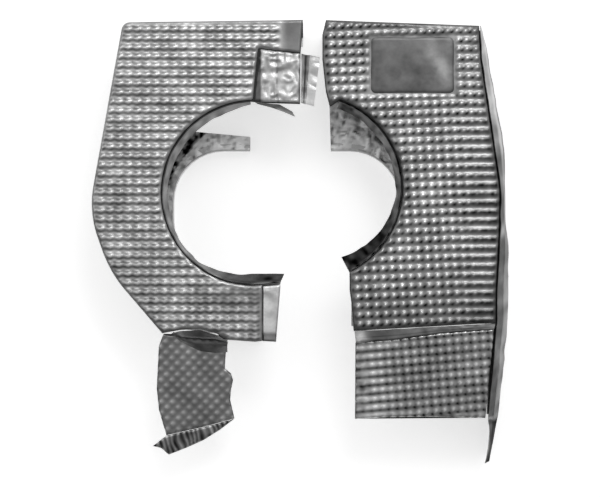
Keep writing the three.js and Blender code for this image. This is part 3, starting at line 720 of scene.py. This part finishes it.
def wall(name, node, side, top, lean):
    """Embossed outer wall along a side, from the floor to top(y), its foot out by lean(y)."""
    pitch, dimple = sizes().pitch / MM, sizes().dimple / MM
    path = rounded(moved(side, SKIN_INSET))
    length = path_length(path)
    columns = int(round(length / pitch)) * 5
    line = along(path, np.linspace(0, 1, columns + 1))
    high = np.array([top(y) for y in line[:, 1]])
    low = [(x + lean(y), y, WALL_FOOT) for x, y in line]
    up = [(x, y, z) for (x, y), z in zip(line, high)]

    def lift(u, v, place):
        tall = place[:, 2]
        margin = step_up(np.minimum(tall, np.interp(u, np.linspace(0, 1, columns + 1), high) - tall), 3, 6)
        return dimple * margin * emboss(u * length, tall, pitch) + 0.3 * noise(u * length, tall, 25, 23)

    # Painted highlights on the dimples' crests, with random grain.
    def tone(u, v, place):
        way, tall = u * length, place[:, 2]
        return 0.4 + 0.4 * emboss(way, tall, pitch) + 0.1 * noise(way, tall, 18, 24)

    finished(strip(name, [low, up], columns, WALL_ROWS, lift, tone), "embossed_foil", node)


def skirt_level(y):
    """Height of the skirt, and of the panel above it."""
    return min(SKIN_TOP, SKIN_TOP - SKIRT_TILT[2] + (y - SKIRT_TILT[0]) * SKIRT_TILT[1])


def band_level(y):
    """Height of the side band's outer edge."""
    return BAND_LOW + min(0.0, (y - PANEL_FOOT) * BAND_FALL)


def band_top(y):
    """Height of its inner edge, which falls where the tail leaves the skirt."""
    return max(band_level(y) + 0.3, skirt_level(y) - 1.5 * max(0, SKIRT_FOOT - y))


class BLANKET_OT_walls(bpy.types.Operator):
    """Embossed outer walls of both halves"""
    bl_idname = "blanket.walls"
    bl_label = "Outer walls"

    def execute(self, context):
        wall("left_wall_foil", "left_wall_skin", LEFT_SIDE, lambda y: LEFT_WALL_TOP, lambda y: 0)
        wall(
            "right_wall_foil", "right_wall_skin", RIGHT_SIDE, lambda y: band_level(y) - 1,
            lambda y: TAIL_LEAN * max(0, LEAN_FROM - y) / (LEAN_FROM - TAIL_TIP))
        return {"FINISHED"}


def lip(name, node, circle, reach, tail, tone):
    """Conical closure of a throat edge, with a bead along the panel."""
    upper = at_level(arc(circle, reach[0][0], reach[-1][0], circle[2] - 0.7), SKIN_TOP)
    lower = at_level(lip_edge(circle, reach), LINING_LOW)
    if tail:
        upper.append((*tail[0], SKIN_TOP))
        lower.append((*tail[1], LINING_LOW))

    def lift(u, v, place):
        way = u * LIP_LENGTH
        wave = 0.35 * noise(way, v * 10, 12, 31) + 0.3 * creases(way, v * 14, 11, 33) * v
        return wave * (0.3 + v) + 0.6 * np.exp(-((v - 0.06) / 0.05) ** 2)

    finished(strip(name, [upper, lower], *LIP_GRID, lift, tone), "dark_foil", node)


class BLANKET_OT_lips(bpy.types.Operator):
    """Conical lips round both throats"""
    bl_idname = "blanket.lips"
    bl_label = "Throat lips"

    def execute(self, context):
        # Tones on the dark painted-shade colour: the left lip darker towards its lower end, the right lip
        # dark with a painted highlight across it at about seven tenths of its length.
        def left_tone(u, v, place):
            return 0.9 - 0.5 * step_up(u, 0.72, 0.95) + 0.5 * noise(u * LIP_LENGTH, v * 12, 6, 35)

        def right_tone(u, v, place):
            shine = 0.35 * spot(u, v, 0.7, 0.5, 0.09, 0.5)
            return 0.25 + shine + 0.3 * noise(u * LIP_LENGTH, v * 12, 5, 36)

        lip("left_lip", "left_throat_lip", THROAT_LEFT, LEFT_REACH, LEFT_LIP_END, left_tone)
        lip("right_lip", "right_throat_lip", THROAT_RIGHT, RIGHT_REACH, (), right_tone)

        def crease(u, v, width):
            return np.exp(-((v - 0.25 - 0.5 * u) / width) ** 2)

        # The arch is painted darker along its crease, as shade in the fold.
        piece = strip(
            "left_arch", [at_level(ARCH_LOW, LINING_TOP), at_level(ARCH_HIGH, SKIN_TOP)], *ARCH_GRID,
            lambda u, v, place: 0.4 * noise(u * 40, v * 14, 9, 37) - 1.6 * crease(u, v, 0.08),
            lambda u, v, place: 0.95 - 0.7 * crease(u, v, 0.07))
        finished(piece, "dark_foil", "left_lower_lip")
        return {"FINISHED"}


class BLANKET_OT_closure(bpy.types.Operator):
    """Closure patch with its folded tab, the sliver below it and the tuck tab of the lower arm"""
    bl_idname = "blanket.closure"
    bl_label = "Closure"

    def execute(self, context):
        low = PATCH_LOW
        patch = [(-32, low + 1.1), (-24.5, low + 0.7), (-0.3, low), (0, 131.6), (-28.4, 134.8)]

        def patch_height(x, y, edge):
            seam = np.exp(-((x + 16.2 + 0.03 * (y - 115)) / 0.5) ** 2)
            slot = step_up(-x, 26.8, 28)
            folds = creases(x * 1.3, y, 5, 71)
            z = SKIN_TOP + 0.3 + 0.5 * folds + 0.3 * noise(x, y, 14, 72) - 0.6 * seam - 0.9 * slot
            # Painted shade in the seam's groove and in the slot at the left edge, painted highlights on the
            # fold ridges, random grain.
            tone = 1.0 - 0.45 * seam - 0.85 * slot + 0.2 * folds
            return z - roll(edge, 1.2, 0.8), tone + 0.35 * noise(x, y, 2.5, 73) * (1 - slot)

        piece = trimmed_panel("closure_patch_foil", patch, patch_height, PLAIN_GRID)
        finished(piece, "plain_foil", "left_closure_patch")
        tab = [
            [(0.9, 131.6, 68.8), (0.5, low, 68.8)], [(4.2, 131.3, 63.3), (2.5, low - 0.2, 63.3)],
            [(7.2, 131, 65.8), (4.6, low - 0.8, 65.8)], [(14, 129.6, 65.8), (9.8, low - 2.4, 65.8)],
        ]
        # The tab's tone: a painted shade line in the fold along its lowest line, and lighter towards its
        # lower end.
        piece = strip("closure_tab_foil", tab[::-1], *TAB_GRID, lambda u, v, place: (
            0.35 * noise(u * 34, v * 14, 8, 74) + 0.25 * creases(u * 34, v * 14, 8, 75)),
            lambda u, v, place: 1.15 + 0.35 * step_up(u, 0.6, 1) - 0.75 * np.exp(-((v - 0.67) / 0.09) ** 2))
        finished(piece, "plain_foil", "left_closure_tab")

        def sliver_height(x, y, edge):
            return LINING_TOP + 0.7 + 0.3 * creases(x, y, 6, 76), 1.3 + 0.4 * noise(x, y, 5, 77)

        sliver = [(x, low + y) for x, y in SLIVER]
        piece = trimmed_panel("lip_sliver_foil", sliver, sliver_height, PLAIN_GRID)
        finished(piece, "dark_foil", "left_lip_sliver")

        def tuck_height(x, y, edge):
            foot = step_up(-y, 63.5, 66)
            z = SKIN_TOP + 0.2 + 0.25 * creases(x, y * 0.6, 8, 78) + 0.2 * noise(x, y, 12, 79) - 0.6 * foot
            # Painted shade at its foot, where it dips under the panel.
            return z - roll(edge, 1.4, 1), 1.5 - 0.8 * foot + 0.1 * noise(x, y, 5, 80)

        piece = trimmed_panel("tuck_tab_foil", TUCK, tuck_height, PLAIN_GRID)
        finished(piece, "plain_foil", "left_lower_tab")
        return {"FINISHED"}


class BLANKET_OT_bands(bpy.types.Operator):
    """Side band and seam band of the right half"""
    bl_idname = "blanket.bands"
    bl_label = "Bands"

    def execute(self, context):
        shares = np.linspace(0, 1, 161)
        outer = [p for p in rounded(RIGHT_SIDE) if p[0] > RIGHT_EDGE[-1][0] and p[1] < RIGHT_EDGE[-1][1]]
        outer = along(outer, shares)
        inner = along([*TAIL_INNER, *[(x + 1, y) for x, y in rounded(RIGHT_EDGE)]], shares)
        low = [(x, y, band_level(y)) for x, y in outer]
        high = [(x, y, band_top(y)) for x, y in inner]
        bend = [
            ((a + d) / 2, (b + e) / 2, f - (f - c) * BAND_BEND) for (a, b, c), (d, e, f) in zip(low, high)]

        # Band tone: a painted reflection that brightens it towards the top, a painted highlight on the
        # inner ledge lower down, a painted shade line along the outer edge higher up, and random grain.
        def tone(u, v, place):
            y = place[:, 1]
            bright = 0.3 + 0.62 * step_up(y, 45, 80)
            ledge_highlight = 0.25 * step_up(v, 0.5, 0.62) * step_up(-y, -30, 0)
            line = np.exp(-((v - 0.08) / 0.07) ** 2) * step_up(y, 20, 60)
            return bright + ledge_highlight - 1.1 * line + 0.25 * noise(u * BAND_LENGTH, v * 10, 7, 42)

        def lift(u, v, place):
            way = u * BAND_LENGTH
            return 0.35 * noise(way, v * 8, 9, 41) + 0.25 * creases(way, v * 8, 14, 45)

        piece = strip("right_band_foil", [low, bend, high], *BAND_GRID, lift, tone)
        finished(piece, "plain_foil", "right_side_band")
        top = [(38.2, -63.1, SKIN_TOP), (136.9, -57.5, SKIN_TOP)]
        seam = [(x, y + 0.3, skirt_level(y)) for x, y in along(SKIRT_TOP, shares)]

        pitch = sizes().pitch / MM

        def seam_lift(u, v, place):
            crushed = 1.2 * step_up(-u, -0.14, -0.02)
            dots = 0.2 * emboss(place[:, 0], (v - 0.55) * pitch, pitch) * step_up(u, 0.3, 0.5)
            way = u * SEAM_LENGTH
            return 0.3 * noise(way, v * 8, 7, 43) + (0.25 + crushed) * creases(way, v * 8, 9, 44) + dots

        # Seam tone: a painted shadow line at its lower edge, cast onto the skirt, a second fainter dark
        # line nearer its middle, lighter at its crushed left end, random grain.
        def seam_tone(u, v, place):
            line = np.exp(-((v - 0.06) / 0.08) ** 2) + 0.5 * np.exp(-((v - 0.42) / 0.06) ** 2)
            bright = 0.62 + 0.8 * step_up(-u, -0.14, -0.02)
            return bright - 0.5 * line + 0.15 * noise(u * SEAM_LENGTH, v * 8, 5, 46)

        piece = strip("right_seam_foil", [seam, top], *SEAM_GRID, seam_lift, seam_tone)
        finished(piece, "plain_foil", "right_seam_band")
        return {"FINISHED"}


class BLANKET_OT_skirt(bpy.types.Operator):
    """Embossed skirt below the right front panel"""
    bl_idname = "blanket.skirt"
    bl_label = "Skirt"

    def execute(self, context):
        pitch, dimple = sizes().skirt_pitch / MM, sizes().dimple / MM
        foot = SKIRT_FOOT
        outline = [(39.2, foot - 0.6), (60, foot + 0.5), (90, foot + 1), (131.4, foot), *SKIRT_TOP[::-1]]
        cos, sin = math.cos(SKIRT_TURN), math.sin(SKIRT_TURN)

        def height(x, y, edge):
            a, b = x * cos + y * sin, y * cos - x * sin
            left = step_up(-x, -75, -50)
            crest = emboss(a, b, pitch, 0.5 * left)
            crushed = np.clip(patches(x, y, SKIRT_CRUSHED), 0, 1)
            crest = crest * (1 - 0.7 * crushed)
            z = SKIN_TOP + tilt(y, SKIRT_TILT) + dimple * crest
            z = z + 0.5 * crushed * (1 + creases(x, y, 6, 53)) + 0.25 * noise(x, y, 22, 54) - 0.15
            # Skirt tone: a painted highlight dot on each crest with a painted shadow below it, spread into
            # rows to the left, with random grain and mottling where crushed.
            p, q = a / pitch, b / pitch
            lean = p - 0.12 * np.sin(2 * np.pi * q)
            dot = peak(q, 2) * (0.3 * left + (1 - 0.3 * left) * peak(lean, 1.6))
            shadow = peak(q + 0.3, 1.6) * (0.6 * left + (1 - 0.6 * left) * peak(lean + 0.35, 1.2))
            tone = 0.78 + 0.25 * left + 0.95 * dot - 0.95 * shadow + 0.4 * crushed * noise(x, y, 4, 55)
            return z - roll(edge), tone + 0.1 * noise(x, y, 15, 56) + 0.15 * noise(x, y, 2.5, 57)

        piece = trimmed_panel("right_skirt_foil", outline, height, pitch, SKIRT_TURN)
        finished(piece, "embossed_foil", "right_skirt_skin")
        return {"FINISHED"}


class BLANKET_OT_flap(bpy.types.Operator):
    """Tail flap of the left half, with its hem"""
    bl_idname = "blanket.flap"
    bl_label = "Tail flap"

    def execute(self, context):
        pitch, dimple = sizes().flap_pitch / MM, sizes().dimple / MM

        def height(x, y, edge):
            a, b = (x + y) * math.sqrt(0.5), (y - x) * math.sqrt(0.5)
            crest = emboss(a, b, pitch, 0.35)
            z = SKIN_TOP + tilt(y, FLAP_TILT) + 0.8 * dimple * crest + 0.25 * noise(x, y, 25, 63) - 0.15
            # Painted highlights on the dimples' crests, with random grain.
            tone = 0.6 + 0.35 * crest + 0.08 * noise(x, y, 20, 64)
            return z - roll(edge), tone

        piece = trimmed_panel("left_flap_foil", FLAP, height, pitch, FLAP_TURN)
        finished(piece, "embossed_foil", "left_flap_skin")

        def hem(x, y, edge):
            ribs = np.cos(2 * np.pi * (x + 0.3 * y + 2 * noise(x, y, 9, 65)) / 4.2)
            z = SKIN_TOP + tilt(y, FLAP_TILT) + 0.45 * ribs + 0.3 * creases(x, y, 7, 66) - 0.4
            # Painted highlights on the ribs' crests, with random grain.
            return z - roll(edge), 0.55 + 0.35 * ribs + 0.35 * noise(x, y, 5, 67)

        finished(trimmed_panel("left_hem_foil", FLAP_HEM, hem, pitch), "plain_foil", "left_flap_hem")
        return {"FINISHED"}


class BLANKET_OT_backs(bpy.types.Operator):
    """Crumpled linings and embossed skins of the back panels"""
    bl_idname = "blanket.backs"
    bl_label = "Back panels"

    def execute(self, context):
        side = rounded(moved(LEFT_SIDE, PANEL_INSET))
        first = next(i for i, p in enumerate(side) if p[1] < 80.8)
        # The left lining stops at y 80.8, so that the near-black mat shows above it as painted shade.
        left = [
            (side[first - 1][0], 80.8), *side[first:], (-50.4, -69), (-26, -69), *rounded(LEFT_OPENING),
            (-36.8, 77.2), (-75.7, 80.8),
        ]
        right = [
            *rounded(moved([(147.1, -60), *RIGHT_SIDE[3:]], PANEL_INSET)), (20.2, 152.6),
            *rounded(RIGHT_OPENING), (38, -62),
        ]

        # The left lip's edge, as it is seen against the lining far below it, along which the lip's shadow
        # is painted.
        edge = lip_edge(THROAT_LEFT, LEFT_REACH)[::3]
        under = [(x * LINING_SPREAD, y * LINING_SPREAD + 0.2) for x, y in edge]

        def lining(x, y, edge):
            z = BACK_TOP + 0.6 + 0.4 * creases(x, y * 1.3, 9, 81) + 0.25 * creases(x, y, 4, 83)
            far = np.min([np.hypot(x - px, y - py) for px, py in under], axis=0)
            reach = 0.5 + 6.5 * step_up(y, 34, 72)
            lip_shadow = step_up(reach - far, -0.8, 0.8) * step_up(y, 30, 38) * step_up(-x, 40, 60)
            # Painted light and shade: the lip's shadow near its edge, painted highlights on crumpled ridges
            # that the mesh doesn't share, and a base above 1 that paints it brighter than the shade it lies
            # in.
            tone = 1.25 + 0.9 * creases(x, y * 1.4, 4, 84) + 0.5 * noise(x, y, 2.5, 85)
            return z + 0.2 * noise(x, y, 20, 82), tone - 1.6 * lip_shadow

        def skin(x, y, edge):
            crest = emboss(x, y, sizes().pitch / MM) * step_up(edge, 1, 3)
            # Painted highlights on the crests.
            return 0.72 - 0.5 * crest, 0.8 + 0.2 * crest

        for name, outline in (("left", left), ("right", right)):
            piece = trimmed_panel(f"{name}_lining_foil", outline, lining, PLAIN_GRID, 0, 5)
            finished(piece, "plain_foil", f"{name}_back_lining")
            piece = trimmed_panel(f"{name}_back_foil", outline, skin, PLAIN_GRID, 0, 4)
            bpy.ops.object.select_all(action="DESELECT")
            piece.select_set(True)
            bpy.ops.object.mode_set(mode="EDIT")
            bpy.ops.mesh.select_all(action="SELECT")
            bpy.ops.mesh.flip_normals()
            bpy.ops.object.mode_set(mode="OBJECT")
            dress(piece, "embossed_foil", material_of("embossed_foil", True), f"{name}_back_skin")
        return {"FINISHED"}


class BLANKET_OT_plate(bpy.types.Operator):
    """Bare plate, bulged a little and softly folded at its right, with a painted sheen there and painted
    shade along its rolled rim
    """
    bl_idname = "blanket.plate"
    bl_label = "Bare plate"

    def execute(self, context):
        x, y, width, depth = PLATE
        left, right, low, high = x - width / 2, x + width / 2, y - depth / 2, y + depth / 2
        radius = 4
        outline = []
        for cx, cy, start in (
                (right - radius, high - radius, 0), (left + radius, high - radius, 90),
                (left + radius, low + radius, 180), (right - radius, low + radius, 270)):
            outline += arc((cx, cy, radius), start, start + 90)

        def height(px, py, edge):
            u, v = px - x, py - y
            across, up = np.clip(u / width, -0.5, 0.5), np.clip(v / depth, -0.5, 0.5)
            bulge = 0.5 * np.cos(across * np.pi) * np.cos(up * np.pi)
            fold_and_sheen = spot(u + 0.35 * v, v, 19, -1, 6, 13)
            z = SKIN_TOP + 0.35 + bulge + 0.4 * fold_and_sheen + 0.12 * noise(px, py, 9, 91)
            # Painted sheen where it is folded, painted shade along its rolled rim, random grain.
            tone = 0.58 + 0.75 * fold_and_sheen + 0.12 * noise(px, py, 7, 92)
            return z - roll(edge, 2.4, 0.9), tone - 0.35 * step_up(-edge, -1.6, 0)

        finished(trimmed_panel("plate_sheet", outline, height, PLAIN_GRID), "bare_plate", "name_plate")
        return {"FINISHED"}


class BLANKET_OT_finishes(bpy.types.Operator):
    """Materials of the frame's own pieces"""
    bl_idname = "blanket.finishes"
    bl_label = "Frame finishes"

    def execute(self, context):
        slots = {part["node"]: part["material_slot"] for part in frame["record"]["subparts"]}
        for name, piece in frame["nodes"].items():
            kind = slots[name]
            piece.data.materials.clear()
            piece.data.materials.append(material_of(kind))
        return {"FINISHED"}


def floor_material():
    """Pale and matt, with a glow for the eye and for reflections that casts no light."""
    pale = bpy.data.materials.new("pale_floor")
    pale.use_nodes = True
    nodes, links = pale.node_tree.nodes, pale.node_tree.links
    shader = nodes["Principled BSDF"]
    shader.inputs["Base Color"].default_value = (0.85, 0.85, 0.85, 1)
    shader.inputs["Roughness"].default_value = 0.9
    shader.inputs["Emission Color"].default_value = (1, 1, 1, 1)
    seen = nodes.new("ShaderNodeLightPath")
    rays = seen.outputs["Is Camera Ray"]
    for kind in ("Is Glossy Ray", "Is Transmission Ray"):
        either = nodes.new("ShaderNodeMath")
        either.operation = "MAXIMUM"
        links.new(rays, either.inputs[0])
        links.new(seen.outputs[kind], either.inputs[1])
        rays = either.outputs["Value"]
    glow = nodes.new("ShaderNodeMath")
    glow.operation = "MULTIPLY"
    glow.inputs[1].default_value = FLOOR_GLOW
    links.new(rays, glow.inputs[0])
    links.new(glow.outputs["Value"], shader.inputs["Emission Strength"])
    return pale


def hang_lamps(scene):
    """The area lamps, turned to the object."""
    for name, place, width, depth, power in LAMPS:
        lamp = bpy.data.lights.new(name, "AREA")
        lamp.shape = "RECTANGLE"
        lamp.size, lamp.size_y = width, depth
        lamp.energy = power
        holder = bpy.data.objects.new(name, lamp)
        holder.location = place
        holder.rotation_euler = (Vector(LAMPS_AIM) - Vector(place)).to_track_quat("-Z", "Y").to_euler()
        scene.collection.objects.link(holder)


def light_sky(scene):
    """A studio sky that is brighter overhead and behind the top edge."""
    world = bpy.data.worlds.new("studio")
    world.use_nodes = True
    nodes, links = world.node_tree.nodes, world.node_tree.links
    sky = nodes["Background"]
    sky.inputs["Color"].default_value = (1, 1, 1, 1)
    where = nodes.new("ShaderNodeTexCoord")
    parts = nodes.new("ShaderNodeSeparateXYZ")
    links.new(where.outputs["Generated"], parts.inputs["Vector"])
    total = None
    for axis, start, end, low, high in SKY:
        ramp = nodes.new("ShaderNodeMapRange")
        ramp.interpolation_type = "SMOOTHSTEP"
        for socket, value in (("From Min", start), ("From Max", end), ("To Min", low), ("To Max", high)):
            ramp.inputs[socket].default_value = value
        links.new(parts.outputs[axis], ramp.inputs["Value"])
        if total is None:
            total = ramp.outputs["Result"]
        else:
            both = nodes.new("ShaderNodeMath")
            links.new(total, both.inputs[0])
            links.new(ramp.outputs["Result"], both.inputs[1])
            total = both.outputs["Value"]
    links.new(total, sky.inputs["Strength"])
    scene.world = world


def place_camera(scene):
    """The camera straight above, as in the photograph."""
    view = bpy.data.cameras.new("camera")
    view.sensor_width = SENSOR
    view.lens = SENSOR * EYE_HEIGHT / VIEW_WIDTH
    camera = bpy.data.objects.new("camera", view)
    camera.location = (SHIFT[0], SHIFT[1] - EYE_DOWN, CAD_TOP + EYE_HEIGHT)
    scene.collection.objects.link(camera)
    scene.camera = camera


class BLANKET_OT_stage(bpy.types.Operator):
    """Pale floor, soft lamps and the camera straight above"""
    bl_idname = "blanket.stage"
    bl_label = "Stage"

    def execute(self, context):
        bpy.ops.object.select_all(action="DESELECT")
        bpy.ops.mesh.primitive_plane_add(size=FLOOR_SIZE, location=(0, 0, FLOOR_LEVEL))
        floor = context.object
        floor.name = "floor"
        floor.data.materials.append(floor_material())
        hang_lamps(context.scene)
        light_sky(context.scene)
        context.scene.view_settings.view_transform = "Standard"
        place_camera(context.scene)
        return {"FINISHED"}


class BLANKET_PT_panel(bpy.types.Panel):
    """Lists the steps and their sizes"""
    bl_idname = "BLANKET_PT_panel"
    bl_label = "Heat blanket"
    bl_space_type = "VIEW_3D"
    bl_region_type = "UI"
    bl_category = "Blanket"

    def draw(self, context):
        for group in (context.scene.blanket_sizes, context.scene.blanket_colours):
            for name in group.__annotations__:
                self.layout.prop(group, name)
        for step in STEPS:
            self.layout.operator(step.bl_idname)


STEPS = (
    BLANKET_OT_finishes,
    BLANKET_OT_left_front,
    BLANKET_OT_right_front,
    BLANKET_OT_walls,
    BLANKET_OT_lips,
    BLANKET_OT_closure,
    BLANKET_OT_bands,
    BLANKET_OT_skirt,
    BLANKET_OT_flap,
    BLANKET_OT_backs,
    BLANKET_OT_plate,
    BLANKET_OT_stage,
)
CLASSES = (BlanketSizes, BlanketColours, *STEPS, BLANKET_PT_panel)


def register():
    for part in CLASSES:
        bpy.utils.register_class(part)
    bpy.types.Scene.blanket_sizes = PointerProperty(type=BlanketSizes)
    bpy.types.Scene.blanket_colours = PointerProperty(type=BlanketColours)


def unregister():
    del bpy.types.Scene.blanket_sizes
    del bpy.types.Scene.blanket_colours
    for part in reversed(CLASSES):
        bpy.utils.unregister_class(part)


def main():
    register()
    for step in STEPS:
        area, name = step.bl_idname.split(".")
        getattr(getattr(bpy.ops, area), name)()


if __name__ == "__main__":
    main()
